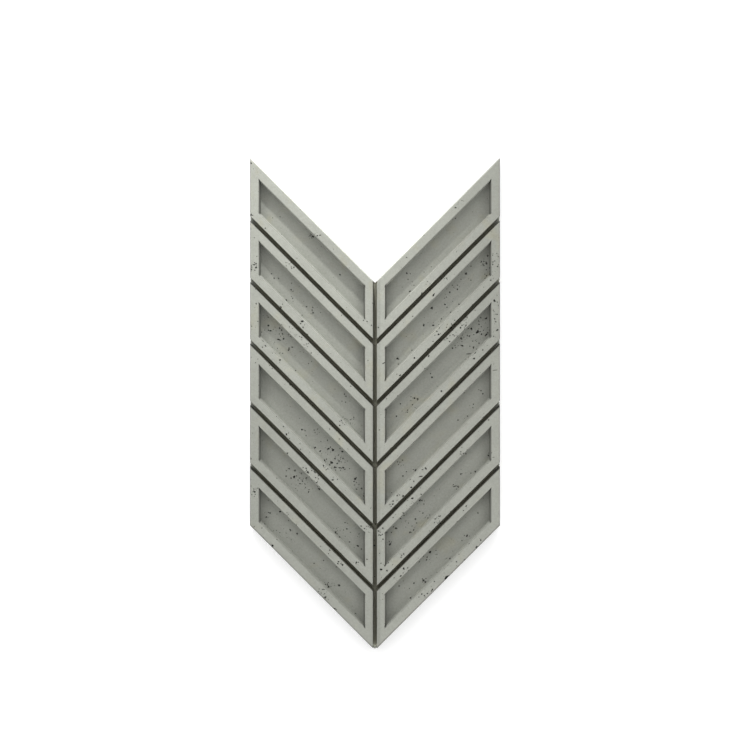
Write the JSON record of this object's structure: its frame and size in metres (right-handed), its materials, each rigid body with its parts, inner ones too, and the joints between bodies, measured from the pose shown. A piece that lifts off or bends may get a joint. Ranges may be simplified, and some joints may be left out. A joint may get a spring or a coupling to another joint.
{
  "type": "concrete wall panel",
  "caption": "Chevron-shaped cast concrete wall panel with mirrored columns of slanted raised frames round sunk fields, parted by narrow grooves.",
  "frame": {"origin": "middle of the outline's box, on the flat back, with the panel lying face up", "axes": "+Z out of the face, +Y along the panel towards its notched end, +X across it to the right when the notched end is at the top"},
  "size_m": [0.5, 0.985, 0.032],
  "materials": {
    "concrete": "matt cast face with open air pores"
  },
  "bodies": {
    "root": {"chevron_panel": "concrete"}
  },
  "joints": []
}
